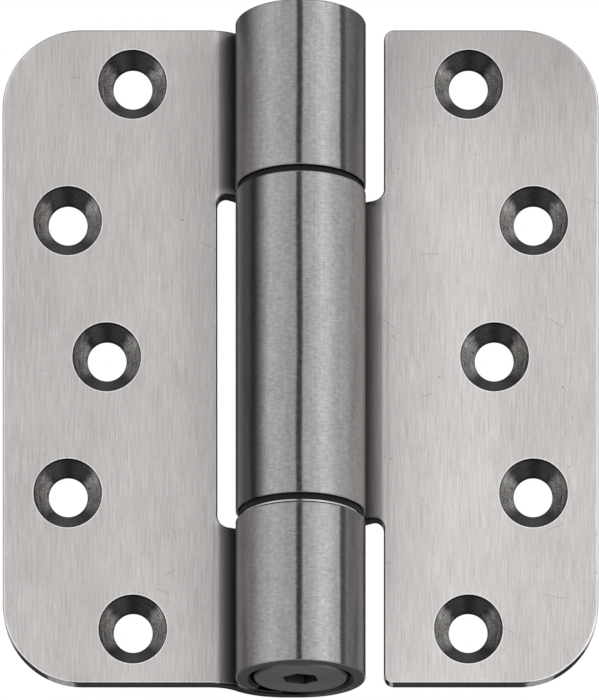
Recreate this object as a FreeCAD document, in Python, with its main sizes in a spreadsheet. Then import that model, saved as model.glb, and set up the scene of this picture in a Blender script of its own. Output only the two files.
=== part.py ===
"""Commercial door hinge with three rolled knuckles, in millimetres.

Frame: the origin is on the pin axis at mid height, +Z runs up the pin, the countersunk faces look
towards -Y, the frame leaf lies towards -X and the door leaf towards +X. The hinge is modelled open flat.
"""

import FreeCAD
import Part
import Sketcher

import math
import os

PARTS_FOLDER = "parts"
SHEET = "Sizes"

# Driving dimensions: alias, value, meaning
SIZES = [
    ("barrel_diameter", 24, "outside of the rolled knuckles"),
    ("barrel_length", 120, "over the outer ends of the knuckles"),
    ("plate_thickness", 3, "leaf and knuckle wall"),
    ("bend_radius", 6, "inside of the bend between leaf and knuckle"),
    ("wrap_shift", 3, "how far the last quarter of the roll stands out from the pin axis"),
    ("leaf_set_back", 2.5, "pin axis to the countersunk face"),
    ("seam_angle", 36, "free end of the roll, in degrees behind the leaf's side"),
    ("seam_gap", 0.2, "free end of the roll to the leaf"),
    ("leaf_reach", 55, "pin axis to the outer edge of a leaf"),
    ("leaf_corner_radius", 14.5, "outer corners of a leaf"),
    ("slot_clearance", 3.4, "barrel to the inner edge of a leaf, beside the other leaf's knuckle"),
    ("slot_corner_radius", 2, "inner corners where a knuckle leaves the leaf"),
    ("inner_corner_radius", 1.8, "corners of the door leaf beside the frame leaf's knuckles"),
    ("edge_round", 0.4, "rounded edges of the leaves and the knuckle ends"),
    ("bore_chamfer", 0.9, "lead-in at the outer ends of the barrel"),
    ("upper_knuckle_length", 30, "frame leaf, top"),
    ("lower_knuckle_length", 29, "frame leaf, bottom"),
    ("upper_gap", 1, "between the top and the middle knuckle"),
    ("lower_gap", 1.5, "between the middle and the bottom knuckle"),
    ("screw_hole_diameter", 7.2, "through hole of each screw"),
    ("countersink_diameter", 12.7, "mouth of each countersink"),
    ("countersink_angle", 90, "degrees"),
    ("end_screw_drop", 10, "end of the barrel to the top and bottom screws"),
    ("end_screw_inset", 24, "outer edge to the top and bottom screws"),
    ("outer_screw_inset", 12, "outer edge to the two outer screws"),
    ("centre_screw_inset", 19.2, "outer edge to the centre screw"),
    ("sleeve_wall", 3, "steel sleeves between the pin and the outer knuckles"),
    ("pin_chamfer", 0.8, "both ends of the pin"),
    ("fixed_clearance", 0.02, "radial, between pieces that are fixed together"),
    ("running_clearance", 0.05, "radial, between the pin and the bushes"),
    ("axial_clearance", 0.05, "along the pin, between pieces that turn on each other"),
    ("bush_wall", 1.5, "bearing bush, round the pin"),
    ("bush_length", 14, "bearing bush, below its flange"),
    ("flange_inset", 0.6, "collar of the bearing bush, inside the barrel's surface"),
    ("lower_flange_thickness", 0.9, "collar of the lower bearing bush"),
    ("bush_chamfer", 0.5, "inner end of the bearing bush"),
    ("washer_inset", 0.8, "thrust washer in the lower gap, inside the barrel's surface"),
    ("washer_thickness", 0.3, "thrust washer in the lower gap"),
    ("plug_clearance", 0.3, "radial, between the head of the end plugs and the bore"),
    ("plug_head_height", 6, "head of the end plugs"),
    ("plug_recess", 0.1, "plug face below the end of the barrel"),
    ("plug_chamfer", 0.3, "edge of the plug face"),
    ("plug_shank_length", 7, "shank of the end plugs, screwed into the sleeve"),
    ("socket_across_flats", 6, "hexagon socket of the bottom plug"),
    ("socket_depth", 5.2, "hexagon socket of the bottom plug"),
    ("socket_turn", 20, "degrees from +X to the first corner of the socket"),
    ("cut_margin", 2, "how far a cutting shape runs past the metal"),
]

# Heights along the pin, as expressions of the sheet's values
TOP_END = "Sizes.barrel_length / 2"
BOTTOM_END = "-Sizes.barrel_length / 2"
UPPER_KNUCKLE_FOOT = f"({TOP_END} - Sizes.upper_knuckle_length)"
MIDDLE_KNUCKLE_TOP = f"({UPPER_KNUCKLE_FOOT} - Sizes.upper_gap)"
LOWER_KNUCKLE_TOP = f"({BOTTOM_END} + Sizes.lower_knuckle_length)"
MIDDLE_KNUCKLE_FOOT = f"({LOWER_KNUCKLE_TOP} + Sizes.lower_gap)"
END_SCREW_HEIGHT = f"({TOP_END} - Sizes.end_screw_drop)"
FLANGE_FOOT = f"({MIDDLE_KNUCKLE_FOOT} - Sizes.lower_flange_thickness)"
WASHER_TOP = f"({FLANGE_FOOT} - Sizes.axial_clearance)"
WASHER_FOOT = f"({WASHER_TOP} - Sizes.washer_thickness)"
TOP_PLUG_FACE = f"({TOP_END} - Sizes.plug_recess)"
TOP_PLUG_SEAT = f"({TOP_PLUG_FACE} - Sizes.plug_head_height)"
TOP_PIN_END = f"({TOP_PLUG_SEAT} - Sizes.plug_shank_length)"
BOTTOM_PLUG_FACE = f"({BOTTOM_END} + Sizes.plug_recess)"
BOTTOM_PLUG_SEAT = f"({BOTTOM_PLUG_FACE} + Sizes.plug_head_height)"
BOTTOM_PIN_END = f"({BOTTOM_PLUG_SEAT} + Sizes.plug_shank_length)"

# Radii, as expressions of the sheet's values
BARREL_RADIUS = "Sizes.barrel_diameter / 2"
BORE_RADIUS = "(Sizes.barrel_diameter / 2 - Sizes.plate_thickness)"
PIN_RADIUS = f"({BORE_RADIUS} - Sizes.sleeve_wall)"
PLUG_RADIUS = f"({BORE_RADIUS} - Sizes.plug_clearance)"
FLANGE_RADIUS = f"({BARREL_RADIUS} - Sizes.flange_inset)"
WASHER_RADIUS = f"({BARREL_RADIUS} - Sizes.washer_inset)"
SLEEVE_RADIUS = f"({BORE_RADIUS} - Sizes.fixed_clearance)"
SLEEVE_BORE = f"({PIN_RADIUS} + Sizes.fixed_clearance)"
BUSH_BORE = f"({PIN_RADIUS} + Sizes.running_clearance)"
BUSH_RADIUS = f"({BUSH_BORE} + Sizes.bush_wall)"
MIDDLE_SLEEVE_BORE = f"({BUSH_RADIUS} + Sizes.fixed_clearance)"

# Distances from the pin axis along a leaf, as expressions of the sheet's values
SLOT_EDGE = f"({BARREL_RADIUS} + Sizes.slot_clearance)"
PAST_BARREL = f"({BARREL_RADIUS} + Sizes.cut_margin)"

ORIGIN_POINT = (-1, 1)  # the sketch origin, as a constraint names it
START, END, CENTRE = 1, 2, 3  # the points of an arc or a line, as a constraint names them
SAME_PLACE = 1e-4  # millimetres, when a face or an edge is looked up by its place


def make_sheet(document):
    """Put the driving dimensions in a spreadsheet, one named cell each."""
    sheet = document.addObject("Spreadsheet::Sheet", SHEET)
    for row, (alias, value, meaning) in enumerate(SIZES, 1):
        sheet.set(f"A{row}", alias)
        sheet.set(f"B{row}", str(value))
        sheet.set(f"C{row}", meaning)
        sheet.setAlias(f"B{row}", alias)
    document.recompute()
    return sheet


def number(document, expression):
    """The present value of an expression of the sheet's cells."""
    return float(document.getObject(SHEET).evalExpression(expression.replace("Sizes.", "")))


def make_body(document, label):
    """An empty body whose label is the name of its STEP file."""
    body = document.addObject("PartDesign::Body", label)
    body.Label = label
    body.Placement = FreeCAD.Placement()
    return body


def make_sketch(body, name, plane_role, offset_expression=None):
    """A sketch on one of the body's own origin planes, or at a distance in front of it."""
    sketch = body.newObject("Sketcher::SketchObject", name)
    plane = next(item for item in body.Origin.OriginFeatures if item.Role == plane_role)
    sketch.AttachmentSupport = [(plane, "")]
    sketch.MapMode = "FlatFace"
    if offset_expression:
        sketch.setExpression("AttachmentOffset.Base.z", offset_expression)
    return sketch


def bind(sketch, name, constraint, expression):
    """Add a named dimension to a sketch and tie it to the sheet."""
    index = sketch.addConstraint(constraint)
    sketch.renameConstraint(index, name)
    sketch.setExpression(f"Constraints.{name}", expression)


def place_point(sketch, name, geometry, point, across, height):
    """Tie one point of a sketch to the sketch origin by two expressions."""
    document = sketch.Document
    for axis, kind, expression in (("x", "DistanceX", across), ("y", "DistanceY", height)):
        value = number(document, expression)
        constraint = Sketcher.Constraint(kind, *ORIGIN_POINT, geometry, point, value)
        bind(sketch, f"{name}_{axis}", constraint, expression)


def add_outline(sketch, name, corners):
    """Add a closed outline of straight lines, each corner given by two expressions."""
    document = sketch.Document
    points = [FreeCAD.Vector(number(document, x), number(document, y), 0) for x, y in corners]
    following = points[1:] + points[:1]
    lines = [sketch.addGeometry(Part.LineSegment(a, b)) for a, b in zip(points, following)]
    for line, after in zip(lines, lines[1:] + lines[:1]):
        sketch.addConstraint(Sketcher.Constraint("Coincident", line, END, after, START))
    for index, (line, (x, y)) in enumerate(zip(lines, corners)):
        place_point(sketch, f"{name}{index}", line, START, x, y)


def add_rectangle(sketch, name, left, right, bottom, top):
    """Add a rectangle whose four sides are given by expressions."""
    add_outline(sketch, name, [(left, bottom), (right, bottom), (right, top), (left, top)])


def add_pad(body, name, sketch, length):
    """Extrude a sketch to both sides alike."""
    pad = body.newObject("PartDesign::Pad", name)
    pad.Profile = sketch
    pad.SideType = "Symmetric"
    pad.setExpression("Length", length)
    return pad


def add_through_pocket(body, name, sketch):
    """Cut a sketch right through the body, to both sides, and see that it took metal away."""
    body.Document.recompute()
    before = body.Shape.Volume
    pocket = body.newObject("PartDesign::Pocket", name)
    pocket.Profile = sketch
    pocket.SideType = "Symmetric"
    pocket.Type = "ThroughAll"
    body.Document.recompute()
    if not body.Shape.Volume < before:
        raise RuntimeError(f"{name} cuts nothing")
    return pocket


def add_turned(body, kind, name, sketch):
    """Turn a sketch on the XZ plane once round the body's own Z axis."""
    axis = next(item for item in body.Origin.OriginFeatures if item.Role == "Z_Axis")
    turned = body.newObject(kind, name)
    turned.Profile = sketch
    turned.ReferenceAxis = (axis, [""])
    turned.Angle = 360
    return turned


def edges_where(shape, wanted):
    """The names of the shape's edges that pass a test."""
    return [f"Edge{index}" for index, edge in enumerate(shape.Edges, 1) if wanted(edge)]


def add_edge_feature(body, kind, name, wanted, size_name, size):
    """Fillet or chamfer the edges of the body that pass a test."""
    body.Document.recompute()
    names = edges_where(body.Shape, wanted)
    if not names:
        raise RuntimeError(f"{name} finds no edge")
    feature = body.newObject(kind, name)
    feature.Base = (body.Tip if body.Tip != feature else feature.BaseFeature, names)
    feature.setExpression(size_name, size)
    body.Tip = feature
    return feature


def runs_along(edge, axis):
    """Whether an edge is a straight line along an axis."""
    if not isinstance(edge.Curve, Part.Line):
        return False
    return abs(abs(edge.Curve.Direction.dot(axis)) - 1) < SAME_PLACE


class Section:
    """The rolled section of a leaf, seen along the pin, with the leaf towards -X.

    The strip's back runs flat, bends back round the bend centre, turns over the wrap centre and
    then round the pin axis, to a free end that lies close to the leaf's own front.
    """

    def __init__(self, document):
        value = lambda name: number(document, f"Sizes.{name}")
        self.outer = value("barrel_diameter") / 2
        self.wall = value("plate_thickness")
        self.bore = self.outer - self.wall
        self.bend = value("bend_radius")
        self.front = value("leaf_set_back")
        self.back = self.front + self.wall
        self.reach = value("leaf_reach")
        self.shift = value("wrap_shift")
        self.gap = value("seam_gap")
        self.seam = math.radians(180 - value("seam_angle"))
        rise = self.back + self.bend
        run = math.sqrt((self.outer + self.bend) ** 2 - rise**2)
        self.bend_centre = FreeCAD.Vector(-self.shift - run, rise, 0)
        self.wrap_centre = FreeCAD.Vector(-self.shift, 0, 0)

    def on_wrap(self, radius):
        """The point on the line between the wrap and bend centres, at a radius from the wrap centre."""
        towards = (self.bend_centre - self.wrap_centre).normalize()
        return self.wrap_centre + towards * radius

    def seam_tip(self):
        """Where the free end of the roll meets its trimmed outside, on the seam's own line."""
        towards = FreeCAD.Vector(math.cos(self.seam), math.sin(self.seam), 0)
        along = self.wrap_centre.dot(towards)
        aside = (self.wrap_centre - towards * along).Length
        return towards * (along + math.sqrt((self.bore - self.gap) ** 2 - aside**2))

    def trim_start(self):
        """Where the trimmed stretch leaves the round outside of the knuckle, on the leaf's side."""
        clear = self.bend + self.wall + self.gap
        away = self.bend_centre.Length
        along = (self.outer**2 - clear**2 + away**2) / (2 * away)
        aside = math.sqrt(self.outer**2 - along**2)
        towards = self.bend_centre / away
        sideways = FreeCAD.Vector(towards.y, -towards.x, 0)
        first, second = towards * along + sideways * aside, towards * along - sideways * aside
        return min(first, second, key=lambda point: point.y)


def add_arc(sketch, centre, start, end):
    """Add the arc that runs anticlockwise from start to end."""
    radius = (start - centre).Length
    first, last = (math.atan2(p.y - centre.y, p.x - centre.x) for p in (start, end))
    if last <= first:
        last += 2 * math.pi
    circle = Part.Circle(centre, FreeCAD.Vector(0, 0, 1), radius)
    return sketch.addGeometry(Part.ArcOfCircle(circle, first, last))


def draw_section(sketch):
    """Draw the rolled section, fully dimensioned from the sheet."""
    section = Section(sketch.Document)
    vector = FreeCAD.Vector
    middle = vector(0, 0, 0)
    bend, wrap = section.bend_centre, section.wrap_centre
    tip, trim = section.seam_tip(), section.trim_start()
    seam_foot = vector(math.cos(section.seam), math.sin(section.seam), 0) * section.bore
    front_edge, back_edge = vector(-section.reach, section.front, 0), vector(-section.reach, section.back, 0)
    front_bend, back_bend = vector(bend.x, section.front, 0), vector(bend.x, section.back, 0)
    inner_turn, outer_turn = section.on_wrap(section.bore), section.on_wrap(section.outer)
    trimmed_turn = section.on_wrap(section.bore - section.gap)

    line = lambda a, b: sketch.addGeometry(Part.LineSegment(a, b))
    leaf_front = line(front_edge, front_bend)
    inner_bend = add_arc(sketch, bend, front_bend, inner_turn)
    inner_wrap = add_arc(sketch, wrap, vector(wrap.x, section.bore, 0), inner_turn)
    inner_top = line(vector(wrap.x, section.bore, 0), vector(0, section.bore, 0))
    bore = add_arc(sketch, middle, seam_foot, vector(0, section.bore, 0))
    seam = line(seam_foot, tip)
    trimmed_wrap = add_arc(sketch, wrap, tip, trimmed_turn)
    trimmed = add_arc(sketch, bend, trim, trimmed_turn)
    outside = add_arc(sketch, middle, trim, vector(0, section.outer, 0))
    outer_top = line(vector(0, section.outer, 0), vector(wrap.x, section.outer, 0))
    outer_wrap = add_arc(sketch, wrap, vector(wrap.x, section.outer, 0), outer_turn)
    outer_bend = add_arc(sketch, bend, back_bend, outer_turn)
    leaf_back = line(back_bend, back_edge)
    leaf_edge = line(back_edge, front_edge)

    tie = lambda *parts: sketch.addConstraint(Sketcher.Constraint(*parts))
    for first, first_point, second, second_point in (
        (leaf_front, END, inner_bend, START),
        (inner_bend, END, inner_wrap, END),
        (inner_wrap, START, inner_top, START),
        (inner_top, END, bore, END),
        (outside, END, outer_top, START),
        (outer_top, END, outer_wrap, START),
        (outer_wrap, END, outer_bend, END),
        (outer_bend, START, leaf_back, START),
        (trimmed_wrap, END, trimmed, END),
    ):
        tie("Tangent", first, first_point, second, second_point)
    for first, first_point, second, second_point in (
        (bore, START, seam, START),
        (seam, END, trimmed_wrap, START),
        (trimmed, START, outside, START),
        (leaf_back, END, leaf_edge, START),
        (leaf_edge, END, leaf_front, START),
        (bore, CENTRE, *ORIGIN_POINT),
        (outside, CENTRE, *ORIGIN_POINT),
        (inner_bend, CENTRE, outer_bend, CENTRE),
        (trimmed, CENTRE, outer_bend, CENTRE),
        (inner_wrap, CENTRE, outer_wrap, CENTRE),
        (trimmed_wrap, CENTRE, outer_wrap, CENTRE),
    ):
        tie("Coincident", first, first_point, second, second_point)
    for level in (leaf_front, leaf_back, inner_top, outer_top):
        tie("Horizontal", level)
    tie("Vertical", leaf_edge)
    tie("PointOnObject", *ORIGIN_POINT, seam)
    tie("PointOnObject", outer_wrap, CENTRE, -1)

    radius = lambda arc, size: Sketcher.Constraint("Radius", arc, size)
    bind(sketch, "outside_radius", radius(outside, section.outer), BARREL_RADIUS)
    bind(sketch, "bore_radius", radius(bore, section.bore), BORE_RADIUS)
    bind(sketch, "bend_radius", radius(outer_bend, section.bend), "Sizes.bend_radius")
    clear = "Sizes.bend_radius + Sizes.plate_thickness + Sizes.seam_gap"
    bind(sketch, "trim_radius", radius(trimmed, number(sketch.Document, clear)), clear)
    place_point(sketch, "leaf_edge", leaf_front, START, "-Sizes.leaf_reach", "Sizes.leaf_set_back")
    shift = Sketcher.Constraint("DistanceX", *ORIGIN_POINT, outer_wrap, CENTRE, -section.shift)
    bind(sketch, "wrap_shift", shift, "-Sizes.wrap_shift")
    angle = Sketcher.Constraint("Angle", seam, section.seam)
    bind(sketch, "seam_angle", angle, "180 - Sizes.seam_angle")


def screw_places():
    """Where a leaf's five screws are, across from the pin axis and up from mid height."""
    places = [("centre_screw_inset", "0")]
    for sign in ("", "-"):
        places.append(("end_screw_inset", f"{sign}{END_SCREW_HEIGHT}"))
        places.append(("outer_screw_inset", f"{sign}{END_SCREW_HEIGHT} / 2"))
    return [(f"Sizes.leaf_reach - Sizes.{inset}", height) for inset, height in places]


def add_screw_holes(body):
    """Countersink and drill the five screw holes from the leaf's front."""
    document = body.Document
    sketch = make_sketch(body, f"{body.Label}_screws", "XZ_Plane", "-Sizes.leaf_set_back")
    radius = number(document, "Sizes.screw_hole_diameter / 2")
    for index, (across, height) in enumerate(screw_places()):
        across = f"-({across})"
        centre = FreeCAD.Vector(number(document, across), number(document, height), 0)
        circle = sketch.addGeometry(Part.Circle(centre, FreeCAD.Vector(0, 0, 1), radius))
        place_point(sketch, f"screw{index}", circle, CENTRE, across, height)
        diameter = Sketcher.Constraint("Diameter", circle, 2 * radius)
        bind(sketch, f"drill{index}", diameter, "Sizes.screw_hole_diameter")
    document.recompute()
    before = body.Shape.Volume
    hole = body.newObject("PartDesign::Hole", f"{body.Label}_countersunk_holes")
    hole.Profile = sketch
    document.recompute()
    hole.ThreadType = "None"
    hole.DepthType = "ThroughAll"
    hole.HoleCutType = "Countersink"
    hole.HoleCutCustomValues = True
    hole.setExpression("Diameter", "Sizes.screw_hole_diameter")
    hole.setExpression("HoleCutDiameter", "Sizes.countersink_diameter")
    hole.setExpression("HoleCutCountersinkAngle", "Sizes.countersink_angle")
    document.recompute()
    if not body.Shape.Volume < before:
        raise RuntimeError(f"{hole.Name} cuts nothing")


def make_leaf(document, label, slots, turn):
    """Roll one leaf with its knuckles.

    slots gives the stretches of the barrel, bottom and top, that the other leaf's knuckles take up.
    Both leaves are drawn towards -X. turn is how far the leaf is turned about Y, end for end, to its
    place, and the slots are given in the leaf's own frame before that.
    """
    body = make_body(document, label)
    section = make_sketch(body, f"{label}_section", "XY_Plane")
    draw_section(section)
    add_pad(body, f"{label}_rolled_strip", section, "Sizes.barrel_length")

    windows = make_sketch(body, f"{label}_slots", "XZ_Plane")
    for index, (low, high) in enumerate(slots):
        add_rectangle(windows, f"slot{index}", f"-{SLOT_EDGE}", PAST_BARREL, low, high)
    add_through_pocket(body, f"{label}_knuckle_slots", windows)

    through = FreeCAD.Vector(0, 1, 0)
    reach, slot_edge, leaf_end, outer = (
        number(document, expression)
        for expression in ("Sizes.leaf_reach", SLOT_EDGE, TOP_END, BARREL_RADIUS)
    )
    at = lambda edge, x: abs(edge.CenterOfMass.x + x) < SAME_PLACE
    at_leaf_end = lambda edge: abs(abs(edge.CenterOfMass.z) - leaf_end) < SAME_PLACE
    inner_edge = lambda edge: runs_along(edge, through) and at(edge, slot_edge)
    add_edge_feature(
        body, "PartDesign::Fillet", f"{label}_slot_corners",
        lambda edge: inner_edge(edge) and abs(edge.CenterOfMass.z) < leaf_end - SAME_PLACE,
        "Radius", "Sizes.slot_corner_radius",
    )
    if len(slots) > 1:
        add_edge_feature(
            body, "PartDesign::Fillet", f"{label}_inner_corners",
            lambda edge: inner_edge(edge) and at_leaf_end(edge),
            "Radius", "Sizes.inner_corner_radius",
        )
    add_edge_feature(
        body, "PartDesign::Fillet", f"{label}_corners",
        lambda edge: runs_along(edge, through) and at(edge, reach),
        "Radius", "Sizes.leaf_corner_radius",
    )
    add_screw_holes(body)

    def on_rim(edge):
        """Whether an edge bounds the leaf, outside or at its slots, or is a knuckle's round outer edge."""
        if runs_along(edge, FreeCAD.Vector(0, 0, 1)):
            return at(edge, reach) or at(edge, slot_edge)
        curve = edge.Curve
        if not isinstance(curve, Part.Circle) or abs(curve.Radius - outer) > SAME_PLACE:
            return False
        return math.hypot(curve.Center.x, curve.Center.y) < SAME_PLACE

    add_edge_feature(
        body, "PartDesign::Fillet", f"{label}_rounded_edges", on_rim, "Radius", "Sizes.edge_round"
    )
    body.Placement = FreeCAD.Placement(FreeCAD.Vector(0, 0, 0), FreeCAD.Rotation(through, turn))
    return body


def chamfer_barrel_mouths(body):
    """Turn a conical lead-in at both outer ends of the frame leaf's bore."""
    body.Document.recompute()
    before = body.Shape.Volume
    sketch = make_sketch(body, f"{body.Label}_mouths", "XZ_Plane")
    for name, sign in (("top", ""), ("bottom", "-")):
        end = f"{sign}({TOP_END})"
        inside = f"{sign}({TOP_END} - Sizes.bore_chamfer)"
        mouth = f"{BORE_RADIUS} + Sizes.bore_chamfer"
        add_outline(sketch, name, [(BORE_RADIUS, inside), (mouth, end), (BORE_RADIUS, end)])
    add_turned(body, "PartDesign::Groove", f"{body.Label}_lead_in", sketch)
    body.Document.recompute()
    if not body.Shape.Volume < before:
        raise RuntimeError("the lead-in cuts nothing")


def make_turned(document, label, corners):
    """A turned piece, from the outline of its half section: radius and height of each corner."""
    body = make_body(document, label)
    sketch = make_sketch(body, f"{label}_section", "XZ_Plane")
    add_outline(sketch, "corner", corners)
    add_turned(body, "PartDesign::Revolution", f"{label}_turned", sketch)
    return body


def make_tube(document, label, bore, radius, foot, top):
    """A plain turned tube or washer."""
    return make_turned(document, label, [(bore, foot), (radius, foot), (radius, top), (bore, top)])


def make_pin(document):
    """The hinge pin, held by both sleeves and chamfered at both ends."""
    chamfer = "Sizes.pin_chamfer"
    return make_turned(
        document,
        "hinge_pin",
        [
            ("0", BOTTOM_PIN_END),
            (f"{PIN_RADIUS} - {chamfer}", BOTTOM_PIN_END),
            (PIN_RADIUS, f"{BOTTOM_PIN_END} + {chamfer}"),
            (PIN_RADIUS, f"{TOP_PIN_END} - {chamfer}"),
            (f"{PIN_RADIUS} - {chamfer}", TOP_PIN_END),
            ("0", TOP_PIN_END),
        ],
    )


def make_bush(document, label, seat, flange, inner):
    """A flanged bearing bush: its flange lies on the middle knuckle's end at the height of seat.

    flange is the height of the flange's outer face, and inner that of the bush's inner end.
    """
    slope = "Sizes.bush_chamfer" if label.startswith("lower") else "-Sizes.bush_chamfer"
    return make_turned(
        document,
        label,
        [
            (BUSH_BORE, flange),
            (FLANGE_RADIUS, flange),
            (FLANGE_RADIUS, seat),
            (BUSH_RADIUS, seat),
            (BUSH_RADIUS, f"{inner} - {slope}"),
            (f"{BUSH_RADIUS} - Sizes.bush_chamfer", inner),
            (BUSH_BORE, inner),
        ],
    )


def make_plug(document, label, face, seat, shank_end, inward):
    """An end plug: a head in the barrel's mouth, and a shank screwed into the sleeve up to the pin."""
    rim = f"{face} {inward} Sizes.plug_chamfer"
    return make_turned(
        document,
        label,
        [
            ("0", face),
            (f"{PLUG_RADIUS} - Sizes.plug_chamfer", face),
            (PLUG_RADIUS, rim),
            (PLUG_RADIUS, seat),
            (PIN_RADIUS, seat),
            (PIN_RADIUS, shank_end),
            ("0", shank_end),
        ],
    )


def cut_socket(body):
    """Cut the hexagon socket into the bottom plug's face."""
    document = body.Document
    document.recompute()
    before = body.Shape.Volume
    sketch = make_sketch(body, "socket_hexagon", "XY_Plane", BOTTOM_PLUG_FACE)
    corner = "Sizes.socket_across_flats / 2 / cos(30)"
    turns = [f"(Sizes.socket_turn + {60 * step})" for step in range(6)]
    add_outline(sketch, "hexagon", [(f"{corner} * cos({turn})", f"{corner} * sin({turn})") for turn in turns])
    pocket = body.newObject("PartDesign::Pocket", "socket")
    pocket.Profile = sketch
    pocket.Reversed = True
    pocket.setExpression("Length", "Sizes.socket_depth")
    document.recompute()
    if not body.Shape.Volume < before:
        raise RuntimeError("the socket cuts nothing")


def make_hinge(document):
    """Build every piece of the hinge and return them."""
    past_end = f"{TOP_END} + Sizes.cut_margin"
    frame_leaf = make_leaf(document, "frame_leaf", [(LOWER_KNUCKLE_TOP, UPPER_KNUCKLE_FOOT)], 0)
    chamfer_barrel_mouths(frame_leaf)
    door_slots = [(f"-({past_end})", f"-{MIDDLE_KNUCKLE_TOP}"), (f"-{MIDDLE_KNUCKLE_FOOT}", past_end)]
    door_leaf = make_leaf(document, "door_leaf", door_slots, 180)

    bottom_plug = make_plug(document, "bottom_end_plug", BOTTOM_PLUG_FACE, BOTTOM_PLUG_SEAT, BOTTOM_PIN_END, "+")
    cut_socket(bottom_plug)
    top_plug = make_plug(document, "top_end_plug", TOP_PLUG_FACE, TOP_PLUG_SEAT, TOP_PIN_END, "-")
    pin = make_pin(document)

    top_sleeve = make_tube(
        document, "top_knuckle_sleeve", SLEEVE_BORE, SLEEVE_RADIUS, UPPER_KNUCKLE_FOOT, TOP_PLUG_SEAT
    )
    bottom_sleeve = make_tube(
        document, "bottom_knuckle_sleeve", SLEEVE_BORE, SLEEVE_RADIUS, BOTTOM_PLUG_SEAT, WASHER_FOOT
    )
    middle_sleeve = make_tube(
        document, "middle_knuckle_sleeve", MIDDLE_SLEEVE_BORE, SLEEVE_RADIUS, MIDDLE_KNUCKLE_FOOT, MIDDLE_KNUCKLE_TOP
    )
    washer = make_tube(
        document, "thrust_washer", SLEEVE_BORE, WASHER_RADIUS, WASHER_FOOT, WASHER_TOP
    )

    upper_bush = make_bush(
        document,
        "upper_bearing_bush",
        MIDDLE_KNUCKLE_TOP,
        f"{UPPER_KNUCKLE_FOOT} - Sizes.axial_clearance",
        f"{MIDDLE_KNUCKLE_TOP} - Sizes.bush_length",
    )
    lower_bush = make_bush(
        document,
        "lower_bearing_bush",
        MIDDLE_KNUCKLE_FOOT,
        FLANGE_FOOT,
        f"{MIDDLE_KNUCKLE_FOOT} + Sizes.bush_length",
    )
    return [
        frame_leaf,
        door_leaf,
        pin,
        bottom_plug,
        top_plug,
        top_sleeve,
        bottom_sleeve,
        middle_sleeve,
        washer,
        upper_bush,
        lower_bush,
    ]


def check(document, pieces):
    """Stop if a feature failed, or if a piece isn't one valid solid."""
    for item in document.Objects:
        if {"Invalid", "Error"} & set(item.State):
            raise RuntimeError(f"{item.Name} failed: {item.State}")
    for piece in pieces:
        if piece.Shape.isNull() or not piece.Shape.isValid() or len(piece.Shape.Solids) != 1:
            raise RuntimeError(f"{piece.Label} isn't one valid solid")


def main():
    """Build the hinge, check it and write one STEP file for each piece."""
    document = FreeCAD.newDocument("door_hinge")
    make_sheet(document)
    pieces = make_hinge(document)
    document.recompute()
    check(document, pieces)
    os.makedirs(PARTS_FOLDER, exist_ok=True)
    for piece in pieces:
        piece.Shape.exportStep(os.path.join(PARTS_FOLDER, f"{piece.Label}.step"))
        box = piece.Shape.optimalBoundingBox()
        print(
            f"{piece.Label}: {piece.Shape.Volume / 1000:.3f} cm3, "
            f"x {box.XMin:.2f} to {box.XMax:.2f}, y {box.YMin:.2f} to {box.YMax:.2f}, "
            f"z {box.ZMin:.2f} to {box.ZMax:.2f}"
        )


main()
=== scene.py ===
"""Looks of the commercial door hinge: steel finishes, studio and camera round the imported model.

Metres, in the model's own frame: +Z up the pin, the countersunk faces towards -Y, the frame leaf
towards -X and the door leaf towards +X.
"""

from __future__ import annotations

import logging
import math
from dataclasses import dataclass, field
from enum import Enum
from typing import Union

import bmesh
import bpy
from mathutils import Matrix, Vector


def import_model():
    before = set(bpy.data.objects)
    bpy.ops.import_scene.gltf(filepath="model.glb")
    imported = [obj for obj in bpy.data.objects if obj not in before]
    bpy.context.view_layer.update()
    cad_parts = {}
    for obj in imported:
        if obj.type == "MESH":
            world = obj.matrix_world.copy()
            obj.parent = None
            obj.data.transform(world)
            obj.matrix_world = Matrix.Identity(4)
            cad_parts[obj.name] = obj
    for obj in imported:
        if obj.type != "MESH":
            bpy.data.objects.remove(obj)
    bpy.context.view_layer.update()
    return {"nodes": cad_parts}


LOG = logging.getLogger("door_hinge")
MM = 0.001
NOISE_ROUGHNESS = 0.55
NOISE_REACH = (0.25, 0.75)

Colour = tuple[float, float, float]
Socket = bpy.types.NodeSocket
Number = Union[float, Socket]
Triple = Union[Colour, Socket]


class Slot(Enum):
    """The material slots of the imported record."""

    BRUSHED = "brushed_steel"
    TURNED = "turned_steel"
    BRIGHT = "bright_steel"
    PLASTIC = "bearing_plastic"


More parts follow.
